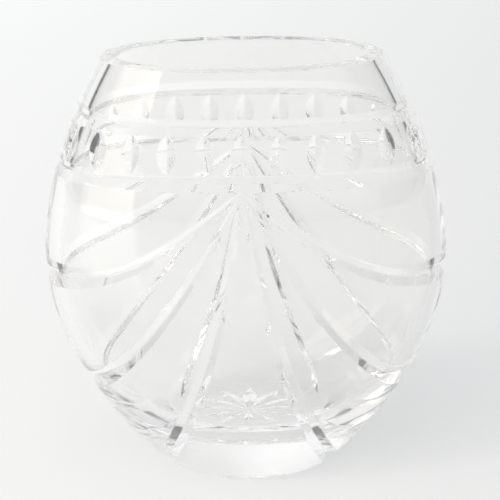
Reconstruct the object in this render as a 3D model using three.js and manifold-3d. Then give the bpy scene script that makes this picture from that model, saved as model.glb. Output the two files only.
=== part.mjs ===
// Hand-cut lead crystal rose vase, in millimetres with +Z up.
// One piece of blown glass: a flattened oval body with a thick wall and a heavy base,
// cut on the outside with two mitre rings, a ring of olives, a fan of mitre rays on each
// broad face and a star under the foot.
// The origin is the middle of the resting face. +X runs along the width, -Y is the front.
import * as THREE from 'three';
import { mergeVertices } from 'three/addons/utils/BufferGeometryUtils.js';
import Module from 'manifold-3d';

// Outer form: the front outline is set by the foot, the widest level and the rim,
// and the side outline by the foot, the deepest level and the rim.
const HEIGHT = 178;
const FOOT_HALF_WIDTH = 40.8;
const WIDEST_HALF_WIDTH = 86;
const WIDEST_LEVEL = 92;
const RIM_HALF_WIDTH = 58.6;
const FOOT_HALF_DEPTH = 38;
const DEEPEST_HALF_DEPTH = 48.5;
const DEEPEST_LEVEL = 27;
const RIM_HALF_DEPTH = 29.3;

// How quickly each outline falls away from its fullest level, as a power.
const WIDTH_FALL_BELOW = 2.04;
const WIDTH_FALL_ABOVE = 1.82;
const DEPTH_FALL_BELOW = 1.85;
const DEPTH_FALL_ABOVE = 1.63;

// Squareness of the oval sections: 2 is a plain ellipse.
const FOOT_SQUARENESS = 2;
const BODY_SQUARENESS = 2.26;

// The blown hollow: walls at the rim, at the narrow ends and at the broad faces,
// the power by which they change above the widest level, and the glass left under the bowl.
const RIM_WALL = 7.2;
const END_WALL = 6.6;
const FACE_WALL = 6.6;
const WALL_CHANGE = 1.82;
const BASE_THICKNESS = 15;
const BOWL_SQUARENESS = 5.2;

// Ground and polished edges.
const RIM_BEVEL = 0.8;
const FOOT_BEVEL = 0.9;

// Mitre rings: drop of each valley below the rim, and their common section.
const UPPER_RING_DROP = 22.6;
const LOWER_RING_DROP = 44.9;
const RING_HEIGHT = 6.8;
const RING_DEPTH = 1.6;

// Olives: short boat-shaped cuts made by the edge of a V wheel.
const OLIVE_COUNT = 24;
const OLIVE_LENGTH = 18;
const OLIVE_WIDTH = 8.4;
const OLIVE_DEPTH = 2;

// Fan rays: mitre cuts that start in one point under the lower ring and widen as they run.
const RAY_TIP_WIDTH = 0.6;
const RAY_END_WIDTH = 9;
const RAY_DEPTH_PER_WIDTH = 0.33;
const RAY_CLEAR_HEIGHT = 2;
const SHOULDER_RAY_LEVEL = 85.5;
const HIP_RAY_LEVEL = 37;
const FOOT_RAY_TURN = 72;
const FOOT_RAY_RUN_OUT = 3;

// Star under the foot.
const STAR_RAY_COUNT = 12;
const STAR_RADIUS = 27;
const STAR_RAY_WIDTH = 7;
const STAR_RAY_TIP_WIDTH = 0.5;
const STAR_DEPTH = 2;
const STAR_CLEAR_DROP = 1;

// Mesh density.
const TURN_STEPS = 60;
const LEVEL_STEP = 10;
const BOWL_STEPS = 9;
const BOWL_BEND = 0.7;
const RAY_STEPS = 9;
const WHEEL_STEPS = 28;
const STAR_RAY_STEPS = 5;

const QUARTER_TURN = Math.PI / 2;
const HALF_TURN = Math.PI;
const FULL_TURN = 2 * Math.PI;
const { degToRad, lerp } = THREE.MathUtils;

const wasm = await Module();
wasm.setup();

// Closed three.js geometry to a solid that can be cut, and back.
function toSolid(geometry) {
  const bare = geometry.clone();
  bare.deleteAttribute('normal');
  bare.deleteAttribute('uv');
  const merged = mergeVertices(bare);
  return new wasm.Manifold(new wasm.Mesh({
    numProp: 3,
    vertProperties: new Float32Array(merged.attributes.position.array),
    triVerts: new Uint32Array(merged.index.array),
  }));
}

function toGeometry(solid) {
  const mesh = solid.getMesh();
  const geometry = new THREE.BufferGeometry();
  geometry.setAttribute('position', new THREE.BufferAttribute(mesh.vertProperties, 3));
  geometry.setIndex(new THREE.BufferAttribute(mesh.triVerts, 1));
  geometry.computeVertexNormals();
  return geometry;
}

// Skins a row of rings that all have the same number of points, and closes it at two centres.
function loft(startCentre, rings, endCentre) {
  const count = rings[0].length;
  const points = [startCentre, ...rings.flat(), endCentre];
  const last = points.length - 1;
  const faces = [];
  for (let i = 0; i < count; i += 1) {
    const j = (i + 1) % count;
    faces.push(0, 1 + j, 1 + i);
    for (let k = 0; k + 1 < rings.length; k += 1) {
      const here = 1 + k * count;
      const next = here + count;
      faces.push(here + i, here + j, next + j, here + i, next + j, next + i);
    }
    const end = last - count;
    faces.push(last, end + i, end + j);
  }
  const geometry = new THREE.BufferGeometry().setFromPoints(points);
  geometry.setIndex(faces);
  return geometry;
}

// A value that falls from its fullest, at one level, to another value at the end level.
function falling(level, fullLevel, full, endLevel, end, power) {
  const share = (level - fullLevel) / (endLevel - fullLevel);
  return full - (full - end) * share ** power;
}

function outerHalfWidth(level) {
  if (level < WIDEST_LEVEL) {
    return falling(level, WIDEST_LEVEL, WIDEST_HALF_WIDTH, 0, FOOT_HALF_WIDTH, WIDTH_FALL_BELOW);
  }
  return falling(level, WIDEST_LEVEL, WIDEST_HALF_WIDTH, HEIGHT, RIM_HALF_WIDTH, WIDTH_FALL_ABOVE);
}

function outerHalfDepth(level) {
  if (level < DEEPEST_LEVEL) {
    return falling(level, DEEPEST_LEVEL, DEEPEST_HALF_DEPTH, 0, FOOT_HALF_DEPTH, DEPTH_FALL_BELOW);
  }
  return falling(level, DEEPEST_LEVEL, DEEPEST_HALF_DEPTH, HEIGHT, RIM_HALF_DEPTH, DEPTH_FALL_ABOVE);
}

function squareness(level) {
  const share = THREE.MathUtils.clamp(level / WIDEST_LEVEL, 0, 1);
  return lerp(FOOT_SQUARENESS, BODY_SQUARENESS, share);
}

// Point of an oval section. Turn is 0 at the front middle and grows towards +X.
function ovalPoint(halfWidth, halfDepth, level, turn) {
  const power = squareness(level);
  const across = Math.sin(turn);
  const towards = -Math.cos(turn);
  const reach = (Math.abs(across) ** power + Math.abs(towards) ** power) ** (-1 / power);
  return new THREE.Vector3(halfWidth * across * reach, halfDepth * towards * reach, level);
}

function ovalRing(halfWidth, halfDepth, level) {
  return Array.from({ length: TURN_STEPS }, (_, i) => (
    ovalPoint(halfWidth, halfDepth, level, (i * FULL_TURN) / TURN_STEPS)
  ));
}

function surfacePoint(turn, level) {
  return ovalPoint(outerHalfWidth(level), outerHalfDepth(level), level, turn);
}

// Axes at a point of the outer surface: round the oval, up the surface, and outwards.
function surfaceAxes(turn, level) {
  const step = 0.001;
  const around = surfacePoint(turn + step, level).sub(surfacePoint(turn - step, level)).normalize();
  const up = surfacePoint(turn, level + step).sub(surfacePoint(turn, level - step)).normalize();
  const out = new THREE.Vector3().crossVectors(around, up).normalize();
  return { around, up, out };
}

// Levels between two others, about one level step apart, without the first.
function levelsUpTo(from, to) {
  const count = Math.max(1, Math.round((to - from) / LEVEL_STEP));
  return Array.from({ length: count }, (_, i) => lerp(from, to, (i + 1) / count));
}

const ringLevels = [HEIGHT - LOWER_RING_DROP, HEIGHT - UPPER_RING_DROP];
const [lowerRing, upperRing] = ringLevels;
const fanLevel = lowerRing - RING_HEIGHT / 2;

// Outer skin from the foot to the rim, with the two mitre rings as inset levels.
function outerRings() {
  const at = (level, inset = 0) => (
    ovalRing(outerHalfWidth(level) - inset, outerHalfDepth(level) - inset, level)
  );
  const foot = ovalRing(FOOT_HALF_WIDTH - FOOT_BEVEL, FOOT_HALF_DEPTH - FOOT_BEVEL, 0);
  const rings = [foot, at(FOOT_BEVEL)];
  let level = FOOT_BEVEL;
  for (const valley of ringLevels) {
    rings.push(...levelsUpTo(level, valley - RING_HEIGHT / 2).map((z) => at(z)));
    rings.push(at(valley, RING_DEPTH), at(valley + RING_HEIGHT / 2));
    level = valley + RING_HEIGHT / 2;
  }
  rings.push(...levelsUpTo(level, HEIGHT - RIM_BEVEL).map((z) => at(z)), at(HEIGHT, RIM_BEVEL));
  return rings;
}

// Thickness of the wall: full up to the widest level, and from there on to the rim's.
function wall(level, fullWall) {
  const share = Math.max(0, (level - WIDEST_LEVEL) / (HEIGHT - WIDEST_LEVEL));
  return lerp(fullWall, RIM_WALL, share ** WALL_CHANGE);
}

// Oval of the blown hollow. Its share is 1 up the wall and goes to 0 at the bottom of the bowl.
function hollowRing(level, share, outset = 0) {
  return ovalRing(
    (outerHalfWidth(level) - wall(level, END_WALL)) * share + outset,
    (outerHalfDepth(level) - wall(level, FACE_WALL)) * share + outset,
    level,
  );
}

// Skin of the hollow from the rim down to the bowl: even levels on the wall, and even
// angles round the corner of the bowl.
function hollowRings() {
  const bowlHeight = WIDEST_LEVEL - BASE_THICKNESS;
  const bendLevel = WIDEST_LEVEL - bowlHeight * BOWL_BEND;
  const rings = [hollowRing(HEIGHT, 1, RIM_BEVEL)];
  for (const level of levelsUpTo(bendLevel, HEIGHT - RIM_BEVEL).reverse()) {
    const drop = Math.max(0, (WIDEST_LEVEL - level) / bowlHeight);
    rings.push(hollowRing(level, (1 - drop ** BOWL_SQUARENESS) ** (1 / BOWL_SQUARENESS)));
  }
  const bendAngle = Math.asin(BOWL_BEND ** (BOWL_SQUARENESS / 2));
  for (let i = 0; i < BOWL_STEPS; i += 1) {
    const angle = lerp(bendAngle, QUARTER_TURN, i / BOWL_STEPS);
    const drop = Math.sin(angle) ** (2 / BOWL_SQUARENESS);
    rings.push(hollowRing(WIDEST_LEVEL - bowlHeight * drop, Math.cos(angle) ** (2 / BOWL_SQUARENESS)));
  }
  return rings;
}

function blank() {
  const restCentre = new THREE.Vector3(0, 0, 0);
  const bowlCentre = new THREE.Vector3(0, 0, BASE_THICKNESS);
  return toSolid(loft(restCentre, [...outerRings(), ...hollowRings()], bowlCentre));
}

// A V-shaped cutter along stations that each give a place, its axes and its cut width and depth.
function mitreCutter(stations) {
  const rings = stations.map(({ place, side, out, width, depth, clear }) => {
    const spread = (width / 2) * ((depth + clear) / depth);
    const top = place.clone().addScaledVector(out, clear);
    return [
      place.clone().addScaledVector(out, -depth),
      top.clone().addScaledVector(side, -spread),
      top.clone().addScaledVector(side, spread),
    ];
  });
  const middle = (ring) => (
    ring.reduce((sum, point) => sum.add(point), new THREE.Vector3()).divideScalar(ring.length)
  );
  return toSolid(loft(middle(rings[0]), rings, middle(rings[rings.length - 1])));
}

// Turns at equal distances round the oval, starting at the front middle.
function evenTurns(count, level) {
  const samples = 720;
  const turns = Array.from({ length: samples + 1 }, (_, i) => (i * FULL_TURN) / samples);
  const lengths = [0];
  for (let i = 1; i <= samples; i += 1) {
    const step = surfacePoint(turns[i], level).distanceTo(surfacePoint(turns[i - 1], level));
    lengths.push(lengths[i - 1] + step);
  }
  return Array.from({ length: count }, (_, k) => {
    const wanted = (k / count) * lengths[samples];
    return turns[lengths.findIndex((length) => length >= wanted)];
  });
}

// Olives between the two rings. The wheel that cuts them is a double cone whose rim
// dips below the surface by the depth of the cut.
function oliveCutters() {
  const level = (lowerRing + upperRing) / 2;
  const halfLength = OLIVE_LENGTH / 2;
  const radius = (halfLength ** 2 + OLIVE_DEPTH ** 2) / (2 * OLIVE_DEPTH);
  const halfThickness = (radius * OLIVE_WIDTH) / (2 * OLIVE_DEPTH);
  const profile = [[0, -halfThickness], [radius, 0], [0, halfThickness]];
  const wheel = new THREE.LatheGeometry(profile.map(([x, y]) => new THREE.Vector2(x, y)), WHEEL_STEPS);
  return evenTurns(OLIVE_COUNT, level).map((turn) => {
    const { around, up, out } = surfaceAxes(turn, level);
    const centre = surfacePoint(turn, level).addScaledVector(out, radius - OLIVE_DEPTH);
    const place = new THREE.Matrix4().makeBasis(out, around, up).setPosition(centre);
    return toSolid(wheel.clone().applyMatrix4(place));
  });
}

// Path of a fan ray over the surface, as turn and level, from the fan's point to its end.
function rayPath(handles, endTurn, endLevel) {
  const place = (turn, fall) => new THREE.Vector2(degToRad(turn), lerp(fanLevel, endLevel, fall));
  const [first, second] = handles;
  return new THREE.CubicBezierCurve(
    place(0, 0),
    place(first.turn, first.fall),
    place(second.turn, second.fall),
    place(endTurn, 1),
  );
}

function rayStations(path) {
  return path.getPoints(RAY_STEPS).map(({ x: turn, y: level }, i) => {
    const heading = path.getTangent(i / RAY_STEPS);
    const step = 0.01;
    const ahead = surfacePoint(turn + heading.x * step, level + heading.y * step);
    const behind = surfacePoint(turn - heading.x * step, level - heading.y * step);
    const { out } = surfaceAxes(turn, level);
    const side = new THREE.Vector3().crossVectors(ahead.sub(behind), out).normalize();
    const width = lerp(RAY_TIP_WIDTH, RAY_END_WIDTH, Math.sqrt(i / RAY_STEPS));
    const depth = width * RAY_DEPTH_PER_WIDTH;
    return { place: surfacePoint(turn, level), side, out, width, depth, clear: RAY_CLEAR_HEIGHT };
  });
}

// The same station mirrored from the front half to the back half.
function mirroredToBack(station) {
  const flip = (vector) => vector.clone().multiply(new THREE.Vector3(1, -1, 1));
  return { ...station, place: flip(station.place), out: flip(station.out), side: flip(station.side) };
}

// Rays of the right half. Two run round the narrow end from the front fan to the back fan,
// and one on each face runs down and out over the edge of the foot.
function rightRayCutters() {
  const shoulder = rayPath([{ turn: 30, fall: 0.78 }, { turn: 34, fall: 1 }], 90, SHOULDER_RAY_LEVEL);
  const hip = rayPath([{ turn: 20, fall: 0.58 }, { turn: 33, fall: 1 }], 90, HIP_RAY_LEVEL);
  const foot = rayPath([{ turn: 8, fall: 0.47 }, { turn: 8, fall: 0.88 }], FOOT_RAY_TURN, -FOOT_RAY_RUN_OUT);
  const roundTheEnd = [shoulder, hip].map((path) => {
    const front = rayStations(path);
    const back = front.slice(0, -1).reverse().map(mirroredToBack);
    return mitreCutter([...front, ...back]);
  });
  const frontFoot = mitreCutter(rayStations(foot));
  return [...roundTheEnd, frontFoot, frontFoot.mirror([0, 1, 0])];
}

// Star rays under the foot, pointed at both ends.
function starCutters() {
  const up = new THREE.Vector3(0, 0, 1);
  return Array.from({ length: STAR_RAY_COUNT }, (_, k) => {
    const turn = (k * FULL_TURN) / STAR_RAY_COUNT;
    const along = new THREE.Vector3(Math.sin(turn), -Math.cos(turn), 0);
    const out = up.clone().negate();
    const side = new THREE.Vector3().crossVectors(along, out);
    return mitreCutter(Array.from({ length: STAR_RAY_STEPS + 1 }, (_unused, i) => {
      const share = i / STAR_RAY_STEPS;
      const fullness = Math.sin(share * HALF_TURN);
      return {
        place: along.clone().multiplyScalar(STAR_RADIUS * share),
        side,
        out,
        width: lerp(STAR_RAY_TIP_WIDTH, STAR_RAY_WIDTH, fullness),
        depth: lerp(STAR_RAY_TIP_WIDTH, STAR_DEPTH, fullness),
        clear: STAR_CLEAR_DROP,
      };
    }));
  });
}

function cutVase() {
  const rightRays = rightRayCutters();
  const leftRays = rightRays.map((ray) => ray.mirror([1, 0, 0]));
  const cutters = [...oliveCutters(), ...rightRays, ...leftRays, ...starCutters()];
  return cutters.reduce((glass, cutter) => glass.subtract(cutter), blank());
}

const crystal = new THREE.MeshStandardMaterial({ color: '#eef1f0', roughness: 0.03, metalness: 0 });
const vase = new THREE.Mesh(toGeometry(cutVase()), crystal);
vase.name = 'vase_body';

const roseVase = new THREE.Group();
roseVase.add(vase);

export default roseVase;
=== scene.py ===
# %% [markdown]
# # A hand-cut crystal rose vase
#
# The real vase is one piece of lead crystal. It was blown as a thick, flattened oval, and then a
# cutter pressed it against spinning stone wheels, and a polish made every cut clear again.
# This lesson follows the same order: the blown blank first, then the wheels that cut it, then the
# polish, and last the soft light that makes clear glass readable.

# %% Load the frame
import math

import bpy
import numpy as np
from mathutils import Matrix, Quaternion, Vector
from mathutils.bvhtree import BVHTree
from mathutils.interpolate import poly_3d_calc


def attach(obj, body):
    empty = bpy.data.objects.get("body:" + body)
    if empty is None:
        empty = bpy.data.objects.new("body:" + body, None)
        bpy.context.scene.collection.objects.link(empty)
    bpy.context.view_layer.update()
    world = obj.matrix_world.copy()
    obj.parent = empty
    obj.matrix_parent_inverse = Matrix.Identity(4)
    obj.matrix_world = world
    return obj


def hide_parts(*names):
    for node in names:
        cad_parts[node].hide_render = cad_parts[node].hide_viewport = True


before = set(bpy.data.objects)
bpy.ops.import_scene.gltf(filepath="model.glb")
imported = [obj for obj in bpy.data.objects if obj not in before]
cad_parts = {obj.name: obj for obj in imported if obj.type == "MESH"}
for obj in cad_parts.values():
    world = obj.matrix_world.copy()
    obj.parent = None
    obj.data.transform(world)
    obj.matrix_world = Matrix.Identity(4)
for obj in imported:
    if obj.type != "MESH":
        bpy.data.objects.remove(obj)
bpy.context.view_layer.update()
scene = bpy.context.scene
MM = 0.001

# %% [markdown]
# ## Camera
#
# The camera comes first, because every later choice is judged through it. It stands in front of the
# broad face, looks down on the vase by about twenty degrees, and leans a little to one side.
# A small lens shift puts the vase where the picture has it, so the camera can aim at its middle.

# %% Camera
IMAGE_SIDE = 500
FOCAL_PIXELS = 1784
SENSOR_WIDTH = 36
CAMERA_DISTANCE = 768.3 * MM
CAMERA_ELEVATION = math.radians(20.62)
CAMERA_AZIMUTH = math.radians(1.6)
CAMERA_ROLL = math.radians(-1.21)
AIM_POINT = Vector((0, 0, 92.2 * MM))
AIM_PIXEL = (245.6, 246.8)


def make_camera():
    lens = bpy.data.cameras.new("camera")
    lens.sensor_width = SENSOR_WIDTH
    lens.lens = FOCAL_PIXELS * SENSOR_WIDTH / IMAGE_SIDE
    lens.shift_x = (IMAGE_SIDE / 2 - AIM_PIXEL[0]) / IMAGE_SIDE
    lens.shift_y = (AIM_PIXEL[1] - IMAGE_SIDE / 2) / IMAGE_SIDE
    camera = bpy.data.objects.new("camera", lens)
    scene.collection.objects.link(camera)
    back = Vector((
        math.sin(CAMERA_AZIMUTH) * math.cos(CAMERA_ELEVATION),
        -math.cos(CAMERA_AZIMUTH) * math.cos(CAMERA_ELEVATION),
        math.sin(CAMERA_ELEVATION),
    ))
    camera.location = AIM_POINT + back * CAMERA_DISTANCE
    camera.rotation_mode = "QUATERNION"
    level_view = (-back).to_track_quat("-Z", "Y")
    camera.rotation_quaternion = level_view @ Quaternion((0, 0, 1), CAMERA_ROLL)
    return camera


scene.camera = make_camera()
print("focal length in mm:", round(scene.camera.data.lens, 1))

# %% [markdown]
# ## The blown form
#
# Seen from the front the vase is a barrel that is widest a little above its middle. Seen from the
# side it is much flatter. Each outline falls away from its fullest level by a power, so a few sizes
# give the whole form, and the same few functions later give its exact surface normals.

# %% Outer form
HEIGHT = 178 * MM
FOOT_HALF_WIDTH = 40.8 * MM
WIDEST_HALF_WIDTH = 86 * MM
WIDEST_LEVEL = 92 * MM
RIM_HALF_WIDTH = 58.6 * MM
FOOT_HALF_DEPTH = 38 * MM
DEEPEST_HALF_DEPTH = 48.5 * MM
DEEPEST_LEVEL = 27 * MM
RIM_HALF_DEPTH = 29.3 * MM
WIDTH_POWERS = (2.04, 1.82)
DEPTH_POWERS = (1.85, 1.63)
FOOT_SQUARENESS = 2.0
BODY_SQUARENESS = 2.26


def falling(level, full_level, full, ends, powers):
    """A value that is fullest at one level and falls to its two ends at the foot and the rim."""
    level = np.asarray(level, float)
    below = np.clip((full_level - level) / full_level, 0, None)
    above = np.clip((level - full_level) / (HEIGHT - full_level), 0, None)
    return full - (full - ends[0]) * below ** powers[0] - (full - ends[1]) * above ** powers[1]


def outer_half_width(level):
    ends = (FOOT_HALF_WIDTH, RIM_HALF_WIDTH)
    return falling(level, WIDEST_LEVEL, WIDEST_HALF_WIDTH, ends, WIDTH_POWERS)


def outer_half_depth(level):
    ends = (FOOT_HALF_DEPTH, RIM_HALF_DEPTH)
    return falling(level, DEEPEST_LEVEL, DEEPEST_HALF_DEPTH, ends, DEPTH_POWERS)


def squareness(level):
    share = np.clip(np.asarray(level, float) / WIDEST_LEVEL, 0, 1)
    return FOOT_SQUARENESS + (BODY_SQUARENESS - FOOT_SQUARENESS) * share


print("outer size in mm:", round(2 * WIDEST_HALF_WIDTH / MM), "x", round(2 * DEEPEST_HALF_DEPTH / MM))

# %% [markdown]
# The hollow is what the blower's breath left. It follows the outside at the thickness of the wall,
# which grows a little towards the rim. It stops well above the table with a flat, softly cornered
# bottom, because a heavy base keeps a vase full of roses from tipping.

# %% Hollow
RIM_WALL = 7.2 * MM
END_WALL = 6.6 * MM
FACE_WALL = 6.6 * MM
WALL_POWER = 1.82
BASE_THICKNESS = 15 * MM
BOWL_SQUARENESS = 5.2


def wall(level, full_wall):
    """Thickness of the wall: full up to the widest level, and from there to the rim's."""
    above = np.clip((np.asarray(level, float) - WIDEST_LEVEL) / (HEIGHT - WIDEST_LEVEL), 0, None)
    return full_wall + (RIM_WALL - full_wall) * above ** WALL_POWER


def bowl_drop(level):
    """0 at the widest level and above, 1 at the bottom of the bowl."""
    return np.clip((WIDEST_LEVEL - np.asarray(level, float)) / (WIDEST_LEVEL - BASE_THICKNESS), 0, None)


def hollow_half_width(level):
    return outer_half_width(level) - wall(level, END_WALL)


def hollow_half_depth(level):
    return outer_half_depth(level) - wall(level, FACE_WALL)


hollow_size = (hollow_half_width(WIDEST_LEVEL), hollow_half_depth(WIDEST_LEVEL))
print("hollow at its widest in mm:", [round(float(2 * v / MM), 1) for v in hollow_size])

# %% [markdown]
# ## Stations
#
# The blank is one closed skin. It starts in the middle of the resting face, runs out to the foot, up
# the outside, over the ground rim, down the inside, and ends in the middle of the bowl. A station is
# one oval on that walk. The two mitre rings are sharp dips in it, and the ground edges are small
# quarter rounds.

# %% Stations
RIM_ROUND = 0.8 * MM
FOOT_ROUND = 0.9 * MM
ROUND_STEPS = 6
UPPER_RING = HEIGHT - 22.6 * MM
LOWER_RING = HEIGHT - 44.9 * MM
RING_HEIGHT = 6.8 * MM
RING_DEPTH = 1.6 * MM
LEVEL_STEP = 1.5 * MM
BOWL_STEPS = 56
BOWL_BEND = 0.75


def outer_station(level, inset=0.0):
    return (float(outer_half_width(level)) - inset, float(outer_half_depth(level)) - inset, level)


def hollow_station(level, outset=0.0):
    share = (1 - float(bowl_drop(level)) ** BOWL_SQUARENESS) ** (1 / BOWL_SQUARENESS)
    half_width = float(hollow_half_width(level)) * share + outset
    half_depth = float(hollow_half_depth(level)) * share + outset
    return (half_width, half_depth, level)


def levels_between(low, high):
    """Even levels from low to high, both included, about one level step apart."""
    return np.linspace(low, high, max(2, round((high - low) / LEVEL_STEP)))


def round_angles():
    return np.linspace(0, math.pi / 2, ROUND_STEPS + 1)


def outside_stations():
    stations = []
    for angle in round_angles():
        inset = FOOT_ROUND * (1 - math.sin(angle))
        stations.append(outer_station(FOOT_ROUND * (1 - math.cos(angle)), inset))
    start = FOOT_ROUND
    for valley in (LOWER_RING, UPPER_RING):
        plain = levels_between(start, valley - RING_HEIGHT / 2)[1:]
        stations += [outer_station(level) for level in plain]
        stations.append(outer_station(valley, RING_DEPTH))
        stations.append(outer_station(valley + RING_HEIGHT / 2))
        start = valley + RING_HEIGHT / 2
    stations += [outer_station(level) for level in levels_between(start, HEIGHT - RIM_ROUND)[1:]]
    for angle in round_angles()[1:]:
        level = HEIGHT - RIM_ROUND * (1 - math.sin(angle))
        stations.append(outer_station(level, RIM_ROUND * (1 - math.cos(angle))))
    return stations


def inside_stations():
    stations = []
    for angle in round_angles():
        level = HEIGHT - RIM_ROUND * (1 - math.cos(angle))
        stations.append(hollow_station(level, RIM_ROUND * (1 - math.sin(angle))))
    bowl_height = WIDEST_LEVEL - BASE_THICKNESS
    wall_levels = levels_between(WIDEST_LEVEL - bowl_height * BOWL_BEND, HEIGHT - RIM_ROUND)[::-1]
    stations += [hollow_station(level) for level in wall_levels[1:]]
    bend_angle = math.asin(BOWL_BEND ** (BOWL_SQUARENESS / 2))
    for angle in np.linspace(bend_angle, math.pi / 2, BOWL_STEPS + 1)[1:-1]:
        drop = math.sin(angle) ** (2 / BOWL_SQUARENESS)
        stations.append(hollow_station(WIDEST_LEVEL - bowl_height * drop))
    return stations


foot_centre = (0.0, 0.0, 0.0)
bowl_centre = (0.0, 0.0, BASE_THICKNESS)
stations = [foot_centre, *outside_stations(), *inside_stations(), bowl_centre]
print("stations:", len(stations))

# %% [markdown]
# ## From stations to a skin
#
# Every section is an oval of the same rule, so Geometry Nodes can make the skin: a grid has one row
# for each station, and the tree bends each row into an oval of that station's half width, half depth
# and squareness. The stations go in as the vertices of a small mesh that carries those numbers.
# One function adds a node, sets its properties, and sets or links its inputs. A node that is given
# as an input stands for its first output, which keeps the sums short.

# %% Node helper
MATH = "ShaderNodeMath"
ADD = {"operation": "ADD"}
SUBTRACT = {"operation": "SUBTRACT"}
MULTIPLY = {"operation": "MULTIPLY"}
DIVIDE = {"operation": "DIVIDE"}
POWER = {"operation": "POWER"}
ABSOLUTE = {"operation": "ABSOLUTE"}


def add_node(tree, kind, settings=None, inputs=None):
    """A new node. Each input is a value, a socket to link, or a node whose first output is linked."""
    node = tree.nodes.new(kind)
    for name, value in (settings or {}).items():
        setattr(node, name, value)
    for socket, value in (inputs or {}).items():
        if isinstance(value, bpy.types.Node):
            value = value.outputs[0]
        if isinstance(value, bpy.types.NodeSocket):
            tree.links.new(value, node.inputs[socket])
        else:
            node.inputs[socket].default_value = value
    return node


def new_geometry_tree(name, sizes):
    """An empty tree with a geometry input and output, and a named input for each size."""
    tree = bpy.data.node_groups.new(name, "GeometryNodeTree")
    tree.interface.new_socket("Geometry", in_out="INPUT", socket_type="NodeSocketGeometry")
    for label, kind in sizes.items():
        tree.interface.new_socket(label, in_out="INPUT", socket_type=kind)
    tree.interface.new_socket("Geometry", in_out="OUTPUT", socket_type="NodeSocketGeometry")
    start = tree.nodes.new("NodeGroupInput")
    return tree, start.outputs


print("node helper ready")

# %% Oval skin tree
ATTRIBUTE = "GeometryNodeInputNamedAttribute"
SKIN_WELD = 0.0005 * MM
# Half a step keeps the division below clear of whole numbers
HALF_STEP = 0.5


def make_skin_tree():
    tree, given = new_geometry_tree("oval_skin", {"Turn Steps": "NodeSocketInt"})
    rows = add_node(tree, "GeometryNodeAttributeDomainSize", inputs={"Geometry": given["Geometry"]})
    row_count = rows.outputs["Point Count"]
    columns = add_node(tree, MATH, ADD, {0: given["Turn Steps"], 1: 1.0})
    grid = add_node(tree, "GeometryNodeMeshGrid", inputs={"Vertices X": columns, "Vertices Y": row_count})
    index = add_node(tree, "GeometryNodeInputIndex")
    row = add_node(tree, MATH, {"operation": "FLOORED_MODULO"}, {0: index, 1: row_count})
    middle = add_node(tree, MATH, ADD, {0: index, 1: HALF_STEP})
    rows_passed = add_node(tree, MATH, DIVIDE, {0: middle, 1: row_count})
    column = add_node(tree, MATH, {"operation": "FLOOR"}, {0: rows_passed})

    def of_station(attribute):
        named = add_node(tree, ATTRIBUTE, {"data_type": "FLOAT"}, {"Name": attribute})
        sampled = {"Geometry": given["Geometry"], "Value": named.outputs["Attribute"], "Index": row}
        return add_node(tree, "GeometryNodeSampleIndex", {"data_type": "FLOAT"}, sampled).outputs["Value"]

    full_turns = add_node(tree, MATH, MULTIPLY, {0: column, 1: math.tau})
    turn = add_node(tree, MATH, DIVIDE, {0: full_turns, 1: given["Turn Steps"]})
    across = add_node(tree, MATH, {"operation": "SINE"}, {0: turn})
    away = add_node(tree, MATH, {"operation": "COSINE"}, {0: turn})
    towards = add_node(tree, MATH, MULTIPLY, {0: away, 1: -1.0})
    power = of_station("squareness")
    parts = {}
    for socket, share in enumerate((across, towards)):
        size = add_node(tree, MATH, ABSOLUTE, {0: share})
        parts[socket] = add_node(tree, MATH, POWER, {0: size, 1: power})
    total = add_node(tree, MATH, ADD, parts)
    root = add_node(tree, MATH, DIVIDE, {0: -1.0, 1: power})
    reach = add_node(tree, MATH, POWER, {0: total, 1: root})
    wide = add_node(tree, MATH, MULTIPLY, {0: of_station("half_width"), 1: across})
    deep = add_node(tree, MATH, MULTIPLY, {0: of_station("half_depth"), 1: towards})
    x = add_node(tree, MATH, MULTIPLY, {0: wide, 1: reach})
    y = add_node(tree, MATH, MULTIPLY, {0: deep, 1: reach})
    place = add_node(tree, "ShaderNodeCombineXYZ", inputs={"X": x, "Y": y, "Z": of_station("level")})
    bent = {"Geometry": grid.outputs["Mesh"], "Position": place}
    skin = add_node(tree, "GeometryNodeSetPosition", inputs=bent)
    welding = {"Geometry": skin, "Distance": SKIN_WELD}
    closed = add_node(tree, "GeometryNodeMergeByDistance", inputs=welding)
    add_node(tree, "NodeGroupOutput", inputs={"Geometry": closed})
    return tree


skin_tree = make_skin_tree()
print("oval skin nodes:", len(skin_tree.nodes))

# %% [markdown]
# The modifier's inputs are set by their identifiers before the object is first evaluated, and the
# result becomes a plain mesh, so nothing live is left on the piece.

# %% Blank
TURN_STEPS = 240


def mesh_from_tree(name, source, tree, sizes):
    holder = bpy.data.objects.new(name, source)
    scene.collection.objects.link(holder)
    modifier = holder.modifiers.new(name, "NODES")
    modifier.node_group = tree
    for socket in tree.interface.items_tree:
        if socket.in_out == "INPUT" and socket.name in sizes:
            modifier[socket.identifier] = sizes[socket.name]
    evaluated = holder.evaluated_get(bpy.context.evaluated_depsgraph_get())
    mesh = bpy.data.meshes.new_from_object(evaluated)
    bpy.data.objects.remove(holder)
    return mesh


def station_mesh():
    mesh = bpy.data.meshes.new("stations")
    mesh.from_pydata([(0, 0, 0)] * len(stations), [], [])
    half_widths, half_depths, levels = zip(*stations)
    columns = {"half_width": half_widths, "half_depth": half_depths, "level": levels}
    columns["squareness"] = [float(squareness(level)) for level in levels]
    for name, values in columns.items():
        mesh.attributes.new(name, "FLOAT", "POINT").data.foreach_set("value", values)
    return mesh


blank = mesh_from_tree("blank", station_mesh(), skin_tree, {"Turn Steps": TURN_STEPS})
print("blank faces:", len(blank.polygons))

# %% [markdown]
# ## Places on the surface
#
# The cutter marks the glass before cutting, and the script needs the same thing: any point of the
# surface from a turn round the oval and a level, and the direction that points straight out of the
# glass there. The direction is the gradient of a value that is 1 on the surface.

# %% Surface places
GRADIENT_STEP = 0.001 * MM


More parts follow.
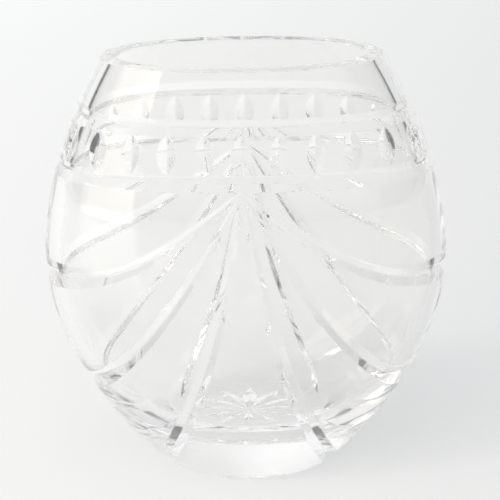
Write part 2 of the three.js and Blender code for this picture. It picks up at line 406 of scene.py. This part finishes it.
def oval_reach(points, half_width, half_depth):
    """1 on the surface whose sections have those half sizes, less inside and more outside."""
    x, y, level = np.moveaxis(points, -1, 0)
    power = squareness(level)
    across = np.abs(x / half_width(level)) ** power
    towards = np.abs(y / half_depth(level)) ** power
    return (across + towards) ** (1 / power)


def outer_reach(points):
    return oval_reach(points, outer_half_width, outer_half_depth)


def hollow_reach(points):
    sides = oval_reach(points, hollow_half_width, hollow_half_depth)
    bowl = bowl_drop(points[..., 2])
    return (sides ** BOWL_SQUARENESS + bowl ** BOWL_SQUARENESS) ** (1 / BOWL_SQUARENESS)


def outward(points, reach):
    """Unit directions in which the reach grows fastest."""
    steps = np.eye(3) * GRADIENT_STEP
    slopes = np.stack([reach(points + step) - reach(points - step) for step in steps], axis=-1)
    return slopes / np.linalg.norm(slopes, axis=-1, keepdims=True)


def surface_points(turn, level):
    power = squareness(level)
    across = np.sin(turn)
    towards = -np.cos(turn)
    reach = (np.abs(across) ** power + np.abs(towards) ** power) ** (-1 / power)
    x = outer_half_width(level) * across * reach
    y = outer_half_depth(level) * towards * reach
    return np.stack([x, y, level + 0 * turn], axis=-1)


front_middle = surface_points(np.array([0.0]), np.array([WIDEST_LEVEL]))
print("outward at the front middle:", outward(front_middle, outer_reach).round(3))

# %% [markdown]
# A cut is drawn as a guide before a wheel follows it: a line on the surface that carries, at each
# point, the outward direction and the width of the cut there.

# %% Guide lines
def guide_mesh(name, lines, closed=False):
    """Lines on the surface as edges, with the outward direction and the cut's width at each point."""
    points = np.concatenate([line["points"] for line in lines])
    edges = []
    first = 0
    for line in lines:
        count = len(line["points"])
        edges += [(first + i, first + i + 1) for i in range(count - 1)]
        if closed:
            edges.append((first + count - 1, first))
        first += count
    mesh = bpy.data.meshes.new(name)
    mesh.from_pydata(points.tolist(), edges, [])
    out = np.concatenate([line["outward"] for line in lines])
    mesh.attributes.new("outward", "FLOAT_VECTOR", "POINT").data.foreach_set("vector", out.ravel())
    width = np.concatenate([line["width"] for line in lines])
    mesh.attributes.new("cut_width", "FLOAT", "POINT").data.foreach_set("value", width)
    return mesh


print("guide lines ready")

# %% [markdown]
# ## Olives
#
# An olive is the boat-shaped mark that a wheel with a V edge leaves when it only touches the glass.
# The tool itself is modelled: a double cone whose edge dips below the surface by the depth of the
# cut. Geometry Nodes set one wheel at equal distances along a line round the vase, with its axle
# along that line.

# %% Olives
OLIVE_COUNT = 24
OLIVE_LENGTH = 18 * MM
OLIVE_WIDTH = 8.4 * MM
OLIVE_DEPTH = 2 * MM
WHEEL_SIDES = 192
WHEEL_WELD = 0.001 * MM
GUIDE_POINTS = 720


def make_olive_tree():
    sizes = {"Count": "NodeSocketInt", "Wheel Radius": "NodeSocketFloat"}
    sizes |= {"Wheel Half Thickness": "NodeSocketFloat", "Depth": "NodeSocketFloat"}
    tree, given = new_geometry_tree("olive_wheels", sizes)
    line = add_node(tree, "GeometryNodeMeshToCurve", inputs={"Mesh": given["Geometry"]})
    even = {"Curve": line, "Count": given["Count"]}
    marks = add_node(tree, "GeometryNodeResampleCurve", {"mode": "COUNT"}, even)
    shape = {"Vertices": WHEEL_SIDES, "Radius Top": 0.0, "Radius Bottom": given["Wheel Radius"]}
    shape["Depth"] = given["Wheel Half Thickness"]
    cone = add_node(tree, "GeometryNodeMeshCone", {"fill_type": "NONE"}, shape).outputs["Mesh"]
    turned = {"Geometry": cone, "Rotation": (math.pi, 0, 0)}
    other = add_node(tree, "GeometryNodeTransform", inputs=turned).outputs[0]
    double = add_node(tree, "GeometryNodeJoinGeometry", inputs={"Geometry": cone})
    tree.links.new(other, double.inputs["Geometry"])
    welding = {"Geometry": double, "Distance": WHEEL_WELD}
    wheel = add_node(tree, "GeometryNodeMergeByDistance", inputs=welding)
    lift = add_node(tree, MATH, SUBTRACT, {0: given["Wheel Radius"], 1: given["Depth"]})
    axle = add_node(tree, "ShaderNodeCombineXYZ", inputs={"X": lift})
    lifted = add_node(tree, "GeometryNodeTransform", inputs={"Geometry": wheel, "Translation": axle})
    out = add_node(tree, ATTRIBUTE, {"data_type": "FLOAT_VECTOR"}, {"Name": "outward"})
    along = add_node(tree, "GeometryNodeInputTangent")
    axes = {"Primary Axis": out.outputs["Attribute"], "Secondary Axis": along}
    directions = {"primary_axis": "X", "secondary_axis": "Z"}
    setting = add_node(tree, "FunctionNodeAxesToRotation", directions, axes)
    placing = {"Points": marks, "Instance": lifted, "Rotation": setting}
    wheels = add_node(tree, "GeometryNodeInstanceOnPoints", inputs=placing)
    whole = add_node(tree, "GeometryNodeRealizeInstances", inputs={"Geometry": wheels})
    add_node(tree, "NodeGroupOutput", inputs={"Geometry": whole})
    return tree


def make_olive_wheels():
    radius = ((OLIVE_LENGTH / 2) ** 2 + OLIVE_DEPTH ** 2) / (2 * OLIVE_DEPTH)
    sizes = {"Count": OLIVE_COUNT, "Wheel Radius": radius, "Depth": OLIVE_DEPTH}
    sizes["Wheel Half Thickness"] = radius * OLIVE_WIDTH / (2 * OLIVE_DEPTH)
    turns = np.arange(GUIDE_POINTS) * math.tau / GUIDE_POINTS
    points = surface_points(turns, np.full(GUIDE_POINTS, (UPPER_RING + LOWER_RING) / 2))
    line = {"points": points, "outward": outward(points, outer_reach)}
    line["width"] = np.full(GUIDE_POINTS, OLIVE_WIDTH)
    guide = guide_mesh("olive_guide", [line], closed=True)
    return mesh_from_tree("olive_wheels", guide, make_olive_tree(), sizes)


olive_wheels = make_olive_wheels()
print("olive wheel faces:", len(olive_wheels.polygons))

# %% [markdown]
# ## Mitre rays
#
# A mitre is a long V cut. The fan on each broad face starts in one point under the lower ring. Two
# rays a side run round the narrow ends to meet the other face's fan, and one a side runs down over
# the edge of the foot. Each ray is a line on the surface, drawn as a smooth curve in turn and level,
# and it widens as it runs. Geometry Nodes sweep a V section along it, held square to the glass.

# %% Mitre tree
def v_section(tree, given):
    """A V for a cut of width 1: a three-sided circle, stretched until one corner is the valley."""
    depth = given["Depth per Width"]
    height = add_node(tree, MATH, ADD, {0: depth, 1: given["Clear per Width"]})
    along_out = add_node(tree, MATH, DIVIDE, {0: height, 1: 1 + math.cos(math.pi / 3)})
    half_height = add_node(tree, MATH, MULTIPLY, {0: height, 1: 0.5})
    half_top = add_node(tree, MATH, DIVIDE, {0: half_height, 1: depth})
    along_side = add_node(tree, MATH, DIVIDE, {0: half_top, 1: math.sin(math.pi / 3)})
    shift = add_node(tree, MATH, SUBTRACT, {0: along_out, 1: depth})
    triangle = add_node(tree, "GeometryNodeCurvePrimitiveCircle", inputs={"Resolution": 3, "Radius": 1.0})
    scale = add_node(tree, "ShaderNodeCombineXYZ", inputs={"X": along_out, "Y": along_side, "Z": 1.0})
    move = add_node(tree, "ShaderNodeCombineXYZ", inputs={"X": shift})
    fitting = {"Geometry": triangle, "Rotation": (0, 0, math.pi), "Scale": scale, "Translation": move}
    return add_node(tree, "GeometryNodeTransform", inputs=fitting)


def make_mitre_tree():
    sizes = {"Depth per Width": "NodeSocketFloat", "Clear per Width": "NodeSocketFloat"}
    sizes["Copies"] = "NodeSocketInt"
    tree, given = new_geometry_tree("mitre_cuts", sizes)
    drawn = add_node(tree, "GeometryNodeMeshToCurve", inputs={"Mesh": given["Geometry"]})
    index = add_node(tree, "GeometryNodeInputIndex")
    full_turns = add_node(tree, MATH, MULTIPLY, {0: index, 1: math.tau})
    turn = add_node(tree, MATH, DIVIDE, {0: full_turns, 1: given["Copies"]})
    turned = add_node(tree, "ShaderNodeCombineXYZ", inputs={"Z": turn})
    marks = add_node(tree, "GeometryNodeMeshLine", inputs={"Count": given["Copies"], "Offset": (0, 0, 0)})
    copying = {"Points": marks, "Instance": drawn, "Rotation": turned}
    copies = add_node(tree, "GeometryNodeInstanceOnPoints", inputs=copying)
    lines = add_node(tree, "GeometryNodeRealizeInstances", inputs={"Geometry": copies})
    splitting = {"Geometry": lines, "Group ID": index}
    single = add_node(tree, "GeometryNodeSplitToInstances", {"domain": "CURVE"}, splitting)
    out = add_node(tree, ATTRIBUTE, {"data_type": "FLOAT_VECTOR"}, {"Name": "outward"})
    standing = {"Curve": single, "Normal": out.outputs["Attribute"]}
    upright = add_node(tree, "GeometryNodeSetCurveNormal", {"mode": "FREE"}, standing)
    width = add_node(tree, ATTRIBUTE, {"data_type": "FLOAT"}, {"Name": "cut_width"})
    sweeping = {"Curve": upright, "Profile Curve": v_section(tree, given), "Fill Caps": True}
    sweeping["Scale"] = width.outputs["Attribute"]
    swept = add_node(tree, "GeometryNodeCurveToMesh", inputs=sweeping)
    joining = {"operation": "UNION", "solver": "MANIFOLD"}
    union = add_node(tree, "GeometryNodeMeshBoolean", joining, {"Mesh 2": swept})
    add_node(tree, "NodeGroupOutput", inputs={"Geometry": union})
    return tree


mitre_tree = make_mitre_tree()
print("mitre nodes:", len(mitre_tree.nodes))

# %% Fan rays
RAY_TIP_WIDTH = 0.6 * MM
RAY_END_WIDTH = 9 * MM
RAY_DEPTH_PER_WIDTH = 0.33
RAY_CLEAR_PER_WIDTH = 0.3
RAY_POINTS = 90
FAN_LEVEL = LOWER_RING - RING_HEIGHT / 2
SHOULDER_RAY = {"handles": ((30, 0.78), (34, 1.0)), "end_turn": 90, "end_level": 85.5 * MM}
HIP_RAY = {"handles": ((20, 0.58), (33, 1.0)), "end_turn": 90, "end_level": 37 * MM}
FOOT_RAY = {"handles": ((8, 0.47), (8, 0.88)), "end_turn": 72, "end_level": -3 * MM}


def ray_line(ray, round_the_end):
    """Points of one right-hand ray on the front, and on round the narrow end to the back if asked."""
    share = np.linspace(0, 1, RAY_POINTS)[:, None]
    corners = np.array([(0, 0), *ray["handles"], (ray["end_turn"], 1)], float)
    weights = ((1 - share) ** 3, 3 * share * (1 - share) ** 2, 3 * share ** 2 * (1 - share), share ** 3)
    turn, fall = sum(weight * corner for weight, corner in zip(weights, corners)).T
    level = FAN_LEVEL + (ray["end_level"] - FAN_LEVEL) * fall
    points = surface_points(np.radians(turn), level)
    line = {"points": points, "outward": outward(points, outer_reach)}
    line["width"] = RAY_TIP_WIDTH + (RAY_END_WIDTH - RAY_TIP_WIDTH) * np.sqrt(share[:, 0])
    if round_the_end:
        to_back = np.array((1, -1, 1))
        for key, flip in (("points", to_back), ("outward", to_back), ("width", 1)):
            line[key] = np.concatenate([line[key], (line[key] * flip)[-2::-1]])
    return line


def mirrored(line, signs):
    return {"points": line["points"] * signs, "outward": line["outward"] * signs, "width": line["width"]}


def fan_lines():
    foot = ray_line(FOOT_RAY, False)
    right = [ray_line(SHOULDER_RAY, True), ray_line(HIP_RAY, True), foot, mirrored(foot, (1, -1, 1))]
    return right + [mirrored(line, (-1, 1, 1)) for line in right]


RAY_SIZES = {"Depth per Width": RAY_DEPTH_PER_WIDTH, "Clear per Width": RAY_CLEAR_PER_WIDTH, "Copies": 1}
fan_guide = guide_mesh("fan_guide", fan_lines())
ray_cutters = mesh_from_tree("ray_cutters", fan_guide, mitre_tree, RAY_SIZES)
print("fan ray cutter faces:", len(ray_cutters.polygons))

# %% [markdown]
# ## Star
#
# Under the foot the cutter leaves a star: mitre rays that are widest half way and run out to a point
# at both ends. One ray is drawn, and the same tree turns copies of it round the middle.

# %% Star
STAR_RAY_COUNT = 12
STAR_RADIUS = 27 * MM
STAR_RAY_WIDTH = 7 * MM
STAR_RAY_TIP_WIDTH = 0.5 * MM
STAR_DEPTH_PER_WIDTH = 0.29
STAR_POINTS = 40


def star_line():
    share = np.linspace(0, 1, STAR_POINTS)
    points = np.outer(share, (0, -STAR_RADIUS, 0))
    down = np.tile((0.0, 0.0, -1.0), (STAR_POINTS, 1))
    width = STAR_RAY_TIP_WIDTH + (STAR_RAY_WIDTH - STAR_RAY_TIP_WIDTH) * np.sin(share * math.pi)
    return {"points": points, "outward": down, "width": width}


STAR_SIZES = {"Depth per Width": STAR_DEPTH_PER_WIDTH, "Clear per Width": RAY_CLEAR_PER_WIDTH}
STAR_SIZES["Copies"] = STAR_RAY_COUNT
star_guide = guide_mesh("star_guide", [star_line()])
star_cutters = mesh_from_tree("star_cutters", star_guide, mitre_tree, STAR_SIZES)
print("star cutter faces:", len(star_cutters.polygons))

# %% [markdown]
# ## Cutting
#
# The wheels are taken out of the blank one kind at a time. A Boolean does it, because a real cut is
# exactly that: the edge of every groove is where two true surfaces meet.

# %% Cut the blank
def holder_of(mesh):
    holder = bpy.data.objects.new(mesh.name, mesh)
    scene.collection.objects.link(holder)
    return holder


def cut_blank():
    body = holder_of(blank)
    cutters = [holder_of(mesh) for mesh in (olive_wheels, ray_cutters, star_cutters)]
    for cutter in cutters:
        cut = body.modifiers.new(cutter.name, "BOOLEAN")
        cut.operation = "DIFFERENCE"
        cut.solver = "MANIFOLD"
        cut.object = cutter
    evaluated = body.evaluated_get(bpy.context.evaluated_depsgraph_get())
    mesh = bpy.data.meshes.new_from_object(evaluated)
    for holder in (body, *cutters):
        bpy.data.objects.remove(holder)
    return mesh


cut_mesh = cut_blank()
print("faces after cutting:", len(cut_mesh.polygons))

# %% [markdown]
# ## Exact normals
#
# Clear glass shows the smallest error in a normal, because every ray bends by it. The plain skin
# therefore gets the exact direction of its own formula at each corner. A cut face takes the smooth
# normals of the wheel that cut it, turned round, because the wheel's own mesh has no slivers.

# %% Exact normals
SKIN_TOLERANCE = 0.0008
CUT_TOLERANCE = 0.005 * MM
SAME_WAY = 0.9
CUT_EDGE_ANGLE = math.radians(18)


def read_array(collection, field, width):
    values = np.zeros(len(collection) * width, np.int32 if field.startswith("vertex") else np.float32)
    collection.foreach_get(field, values)
    return values.reshape(-1, width) if width > 1 else values


def smooth_between_edges(mesh):
    mesh.shade_smooth()
    mesh.set_sharp_from_angle(angle=CUT_EDGE_ANGLE)
    return read_array(mesh.corner_normals, "vector", 3)


def set_skin_normals(mesh, normals, reach, side):
    """Normals from a surface's formula. Gives the faces that lie on that surface."""
    points = read_array(mesh.vertices, "co", 3).astype(float)
    corners = read_array(mesh.loops, "vertex_index", 1)
    face_normals = read_array(mesh.polygons, "normal", 3)
    starts = np.array([face.loop_start for face in mesh.polygons])
    sizes = np.array([face.loop_total for face in mesh.polygons])
    on_skin = np.abs(reach(points) - 1) < SKIN_TOLERANCE
    directions = np.zeros_like(points)
    directions[on_skin] = side * outward(points[on_skin], reach)
    agreement = np.sum(face_normals * directions[corners[starts]], axis=1)
    faces = np.logical_and.reduceat(on_skin[corners], starts) & (agreement > SAME_WAY)
    chosen = np.repeat(faces, sizes)
    normals[chosen] = directions[corners[chosen]]
    return faces


def set_cut_normals(mesh, normals, faces, cutter):
    """Normals of the faces that lie on a cutter. Gives how many they are."""
    smooth = smooth_between_edges(cutter)
    places = [vertex.co for vertex in cutter.vertices]
    search = BVHTree.FromPolygons(places, [face.vertices for face in cutter.polygons])
    found = 0
    for face in faces:
        index = search.find_nearest(face.center, CUT_TOLERANCE)[2]
        if index is None:
            continue
        source = cutter.polygons[index]
        outline = [places[i] for i in source.vertices]
        for loop in face.loop_indices:
            place = mesh.vertices[mesh.loops[loop].vertex_index].co
            normals[loop] = -np.dot(poly_3d_calc(outline, place), smooth[source.loop_indices])
        found += 1
    return found


def set_exact_normals(mesh):
    normals = smooth_between_edges(mesh)
    skin = set_skin_normals(mesh, normals, outer_reach, 1)
    skin |= set_skin_normals(mesh, normals, hollow_reach, -1)
    rest = [face for face in mesh.polygons if not skin[face.index]]
    cutters = (olive_wheels, ray_cutters, star_cutters)
    cut = [set_cut_normals(mesh, normals, rest, cutter) for cutter in cutters]
    mesh.normals_split_custom_set(normals.tolist())
    return {"skin": int(skin.sum()), "cut": cut, "all": len(skin)}


print("faces with exact normals:", set_exact_normals(cut_mesh))

# %% [markdown]
# ## Lead crystal
#
# The glass is clear lead crystal: it bends light more than window glass, and acid polishing left the
# cuts as clear as the blown skin. The acid also rounds every edge of a cut, and each rounded edge is
# a thin lens that draws a soft line. A Bevel node shades that rounding, so the mesh keeps its exact
# edges. The polish is never quite flat either: a slow ripple of a hundredth of a millimetre runs
# over every face.

# %% Lead crystal
def linear(hex_colour):
    """An sRGB hex colour as linear red, green, blue and alpha."""
    parts = [int(hex_colour[i:i + 2], 16) / 255 for i in (1, 3, 5)]
    return tuple(v / 12.92 if v <= 0.04045 else ((v + 0.055) / 1.055) ** 2.4 for v in parts) + (1.0,)


CRYSTAL_IOR = 1.545
CRYSTAL_COLOUR = "#fefefd"
POLISH_WAVE = 7 * MM
POLISH_RIPPLE = 0.01 * MM
EDGE_ROUNDING = 0.9 * MM
EDGE_SAMPLES = 6


def lead_crystal():
    material = bpy.data.materials.new("lead_crystal_polished")
    material.use_nodes = True
    tree = material.node_tree
    tree.nodes.clear()
    place = add_node(tree, "ShaderNodeTexCoord").outputs["Object"]
    waves = {"Vector": place, "Scale": 1 / POLISH_WAVE, "Detail": 1.0}
    wave = add_node(tree, "ShaderNodeTexNoise", inputs=waves).outputs["Fac"]
    edge = add_node(tree, "ShaderNodeBevel", {"samples": EDGE_SAMPLES}, {"Radius": EDGE_ROUNDING})
    rippling = {"Height": wave, "Distance": POLISH_RIPPLE, "Strength": 1.0, "Normal": edge}
    ripple = add_node(tree, "ShaderNodeBump", inputs=rippling)
    surface = {"Base Color": linear(CRYSTAL_COLOUR), "Roughness": 0.0, "IOR": CRYSTAL_IOR}
    surface |= {"Transmission Weight": 1.0, "Normal": ripple}
    glass = add_node(tree, "ShaderNodeBsdfPrincipled", inputs=surface)
    add_node(tree, "ShaderNodeOutputMaterial", inputs={"Surface": glass})
    return material


crystal = lead_crystal()
vase = holder_of(cut_mesh)
vase.name = "crystal_vase"
vase.data.name = "crystal_vase"
vase.data.materials.clear()
vase.data.materials.append(crystal)
print("vase faces:", len(vase.data.polygons))

# %% [markdown]
# ## Stage and light
#
# Glass has no colour of its own, so it is drawn by what stands round it. A pale paper sweep runs under
# and behind the vase. It is painted lighter to the left and darker to the right, as if the light fell from
# the left, so the two facets of each V cut differ, and it has a painted shade beside the foot. The paper
# is uncoated, so it has no shine. Most of its paleness is a glow that only the camera, reflections and
# views through glass see, because more light on the paper would wash out the shadow.

# %% Easing
EASE = "ShaderNodeMapRange"
SMOOTH = {"interpolation_type": "SMOOTHSTEP"}


def between(value, limits, results):
    """Inputs for easing: results are what the two limits of the value give."""
    inputs = {"Value": value, "From Min": limits[0], "From Max": limits[1]}
    return inputs | {"To Min": results[0], "To Max": results[1]}


def seen_directly(tree):
    """1 for what the camera, a reflection or a view through glass sees, and 0 for what only lights."""
    rays = add_node(tree, "ShaderNodeLightPath").outputs
    seen = rays["Is Camera Ray"]
    for kind in ("Is Glossy Ray", "Is Transmission Ray"):
        seen = add_node(tree, MATH, {"operation": "MAXIMUM"}, {0: seen, 1: rays[kind]})
    return seen


print("easing ready")

# %% [markdown]
# A painted pool of light on the paper stands for the window's light on a patch in front of it, out of the
# picture.
# The vase reflects that patch under the window's own reflection. Seen from the vase it is a wedge with
# soft edges.

# %% Painted window light on the paper
POOL_LIFT = 0.8
POOL_RIGHT_EDGE = math.radians(33)
POOL_RIGHT_SOFTNESS = 0.03
POOL_LEFT_EDGE = math.radians(72)
POOL_LEFT_SOFTNESS = 0.15
POOL_NEAR_LIMITS = (0.22, 0.6)


def painted_window_pool(tree, place, across, along):
    """A painted pool of the window's light, as a glow on the paper in front of it."""
    leftward = add_node(tree, MATH, MULTIPLY, {0: across, 1: -1.0})
    nearer = add_node(tree, MATH, MULTIPLY, {0: along, 1: -1.0})
    bearing = add_node(tree, MATH, {"operation": "ARCTAN2"}, {0: leftward, 1: nearer})
    right_limits = (POOL_RIGHT_EDGE - POOL_RIGHT_SOFTNESS, POOL_RIGHT_EDGE + POOL_RIGHT_SOFTNESS)
    right_edge = add_node(tree, EASE, SMOOTH, between(bearing, right_limits, (0.0, POOL_LIFT)))
    left_limits = (POOL_LEFT_EDGE - POOL_LEFT_SOFTNESS, POOL_LEFT_EDGE + POOL_LEFT_SOFTNESS)
    left_edge = add_node(tree, EASE, SMOOTH, between(bearing, left_limits, (1.0, 0.0)))
    away = add_node(tree, "ShaderNodeVectorMath", {"operation": "LENGTH"}, {0: place}).outputs["Value"]
    near_edge = add_node(tree, EASE, SMOOTH, between(away, POOL_NEAR_LIMITS, (0.0, 1.0)))
    wedge = add_node(tree, MATH, MULTIPLY, {0: right_edge, 1: left_edge})
    return add_node(tree, MATH, MULTIPLY, {0: wedge, 1: near_edge})


print("window light in degrees:", [round(math.degrees(v)) for v in (POOL_RIGHT_EDGE, POOL_LEFT_EDGE)])

# %% Paper
# Limits are places on the paper in metres. Lifts and shares are strengths of its glow.
PAPER_COLOUR = "#cfcfcf"
PAPER_ROUGHNESS = 0.9
LIFT_COLOUR = "#feffff"
ACROSS_LIMITS = (-0.45, 0.45)
ACROSS_LIFT = (0.61, 0.462)
FAR_LIMITS = (0.0, 1.5)
FAR_LIFT = (0.0, 0.12)
NEAR_LIMITS = (-0.25, -0.05)
NEAR_SHARE = (0.7, 1.0)
# Painted shade: the paper's glow is dimmer beside the foot, where the vase's shadow falls.
SHADE_MIDDLE = (0.055, 0.04, 0.0)
SHADE_LIMITS = (0.0, 0.11)
SHADE_SHARE = (0.9, 1.0)


def paper():
    """Matt paper with a glow of painted light and shade that only the camera, reflections and views
    through glass see.
    """
    material = bpy.data.materials.new("backdrop_paper")
    material.use_nodes = True
    tree = material.node_tree
    tree.nodes.clear()
    place = add_node(tree, "ShaderNodeTexCoord").outputs["Object"]
    across, along, _up = add_node(tree, "ShaderNodeSeparateXYZ", inputs={"Vector": place}).outputs
    # Painted light: the glow is lighter to the left and darker to the right, as if lit from the left. It
    # is also lighter far behind the vase and fainter in front of it.
    sideways = add_node(tree, EASE, SMOOTH, between(across, ACROSS_LIMITS, ACROSS_LIFT))
    far = add_node(tree, EASE, SMOOTH, between(along, FAR_LIMITS, FAR_LIFT))
    near = add_node(tree, EASE, SMOOTH, between(along, NEAR_LIMITS, NEAR_SHARE))
    both = add_node(tree, MATH, ADD, {0: sideways, 1: far})
    faded = add_node(tree, MATH, MULTIPLY, {0: both, 1: near})
    # Painted light: the glow gains a pool where the window's light would fall.
    pooled = add_node(tree, MATH, ADD, {0: faded, 1: painted_window_pool(tree, place, across, along)})
    # Painted shade: the glow is dimmed near a point beside the foot.
    ends = {0: place, 1: SHADE_MIDDLE}
    away = add_node(tree, "ShaderNodeVectorMath", {"operation": "DISTANCE"}, ends).outputs["Value"]
    shade = add_node(tree, EASE, SMOOTH, between(away, SHADE_LIMITS, SHADE_SHARE))
    shaded = add_node(tree, MATH, MULTIPLY, {0: pooled, 1: shade})
    lift = add_node(tree, MATH, MULTIPLY, {0: shaded, 1: seen_directly(tree)})
    surface = {"Base Color": linear(PAPER_COLOUR), "Roughness": PAPER_ROUGHNESS, "Specular IOR Level": 0.0}
    surface |= {"Emission Color": linear(LIFT_COLOUR), "Emission Strength": lift}
    matt = add_node(tree, "ShaderNodeBsdfPrincipled", inputs=surface)
    add_node(tree, "ShaderNodeOutputMaterial", inputs={"Surface": matt})
    return material


backdrop_paper = paper()
print("paper nodes:", len(backdrop_paper.node_tree.nodes))

# %% Sweep
FLOOR_HALF_WIDTH = 3.0
FLOOR_FRONT = -2.5
FLOOR_BACK = 1.6
SWEEP_RADIUS = 0.6
WALL_HEIGHT = 2.4
SWEEP_STEPS = 24
AIR_GAP = 0.1 * MM


def make_sweep():
    side = [(FLOOR_FRONT, -AIR_GAP)]
    for angle in np.linspace(0, math.pi / 2, SWEEP_STEPS):
        rise = SWEEP_RADIUS * (1 - math.cos(angle)) - AIR_GAP
        side.append((FLOOR_BACK + SWEEP_RADIUS * math.sin(angle), rise))
    side.append((FLOOR_BACK + SWEEP_RADIUS, WALL_HEIGHT))
    points = [(x, y, z) for y, z in side for x in (-FLOOR_HALF_WIDTH, FLOOR_HALF_WIDTH)]
    faces = [(2 * i, 2 * i + 1, 2 * i + 3, 2 * i + 2) for i in range(len(side) - 1)]
    mesh = bpy.data.meshes.new("paper_sweep")
    mesh.from_pydata(points, [], faces)
    mesh.shade_smooth()
    mesh.materials.append(backdrop_paper)
    return holder_of(mesh)


sweep = make_sweep()
print("sweep faces:", len(sweep.data.polygons))

# %% [markdown]
# The room is a soft white all round, with both sides dark: the cuts at the narrow ends show those dark
# sides. It lights the vase with only a part of what is seen of it. The window is a broad panel to the
# left of the camera, and a small lamp beside it gives the cast shadow.

# %% Light
ROOM_COLOUR = "#fbfcff"
ROOM_LIGHT_SHARE = 0.54
DEPTH_LIMITS = (-0.7, 0.1)
DEPTH_GLOW = (0.9, 1.0)
SIDE_LIMITS = (0.55, 0.9)
SIDE_SHARE = (1.0, 0.17)
OVERHEAD_LIMITS = (0.35, 0.8)
OVERHEAD_GLOW = 1.0
HORIZON_LIMITS = (-0.1, 0.03)
HORIZON_SHARE = (0.04, 1.0)
WINDOW = {"place": (-1.19, -0.91, 0.55), "aim": (0, 0, 0.1), "size": (1.06, 1.1)}
WINDOW |= {"radiance": 1.6, "colour": "#fff2dc"}
LAMP = {"place": (-1.25, -0.5, 0.8), "aim": (0, 0, 0.08), "size": (0.25, 0.25)}
LAMP |= {"radiance": 15.0, "colour": "#fffcf6"}
GLASS_BOUNCES = 40
REFLECTION_BOUNCES = 24


def make_world():
    """The room by direction: limits are parts of a direction of length 1, across, along or up."""
    world = bpy.data.worlds.new("soft_room")
    world.use_nodes = True
    tree = world.node_tree
    tree.nodes.clear()
    direction = add_node(tree, "ShaderNodeTexCoord").outputs["Generated"]
    across, along, up = add_node(tree, "ShaderNodeSeparateXYZ", inputs={"Vector": direction}).outputs
    depth = add_node(tree, EASE, SMOOTH, between(along, DEPTH_LIMITS, DEPTH_GLOW))
    sideways = add_node(tree, MATH, ABSOLUTE, {0: across})
    side = add_node(tree, EASE, SMOOTH, between(sideways, SIDE_LIMITS, SIDE_SHARE))
    around = add_node(tree, MATH, MULTIPLY, {0: depth, 1: side})
    overhead = add_node(tree, EASE, SMOOTH, between(up, OVERHEAD_LIMITS, (0.0, 1.0)))
    gap = add_node(tree, MATH, SUBTRACT, {0: OVERHEAD_GLOW, 1: around})
    above = add_node(tree, MATH, {"operation": "MULTIPLY_ADD"}, {0: gap, 1: overhead, 2: around})
    horizon = add_node(tree, EASE, SMOOTH, between(up, HORIZON_LIMITS, HORIZON_SHARE))
    shown = add_node(tree, MATH, MULTIPLY, {0: above, 1: horizon})
    share = add_node(tree, EASE, SMOOTH, between(seen_directly(tree), (0.0, 1.0), (ROOM_LIGHT_SHARE, 1.0)))
    strength = add_node(tree, MATH, MULTIPLY, {0: shown, 1: share})
    room = {"Color": linear(ROOM_COLOUR), "Strength": strength}
    background = add_node(tree, "ShaderNodeBackground", inputs=room)
    add_node(tree, "ShaderNodeOutputWorld", inputs={"Surface": background})
    scene.world = world


def make_panel(name, place, aim, size, radiance, colour):
    """A glowing panel. Its power is its radiance times pi and its area."""
    light = bpy.data.lights.new(name, "AREA")
    light.shape = "RECTANGLE"
    light.size, light.size_y = size
    light.energy = radiance * math.pi * size[0] * size[1]
    light.color = linear(colour)[:3]
    panel = bpy.data.objects.new(name, light)
    scene.collection.objects.link(panel)
    panel.location = place
    panel.rotation_mode = "QUATERNION"
    panel.rotation_quaternion = (Vector(aim) - Vector(place)).to_track_quat("-Z", "Y")
    return panel


make_world()
make_panel("window_panel", **WINDOW)
make_panel("key_lamp", **LAMP)
scene.view_settings.view_transform = "Standard"
scene.cycles.max_bounces = GLASS_BOUNCES
scene.cycles.glossy_bounces = REFLECTION_BOUNCES
scene.cycles.transmission_bounces = GLASS_BOUNCES

# %% [markdown]
# ## Hand over
#
# The vase rides on the one body of the frame, and stands for the one solid of the CAD model.

# %% Finish
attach(vase, "root")
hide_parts("vase_body")
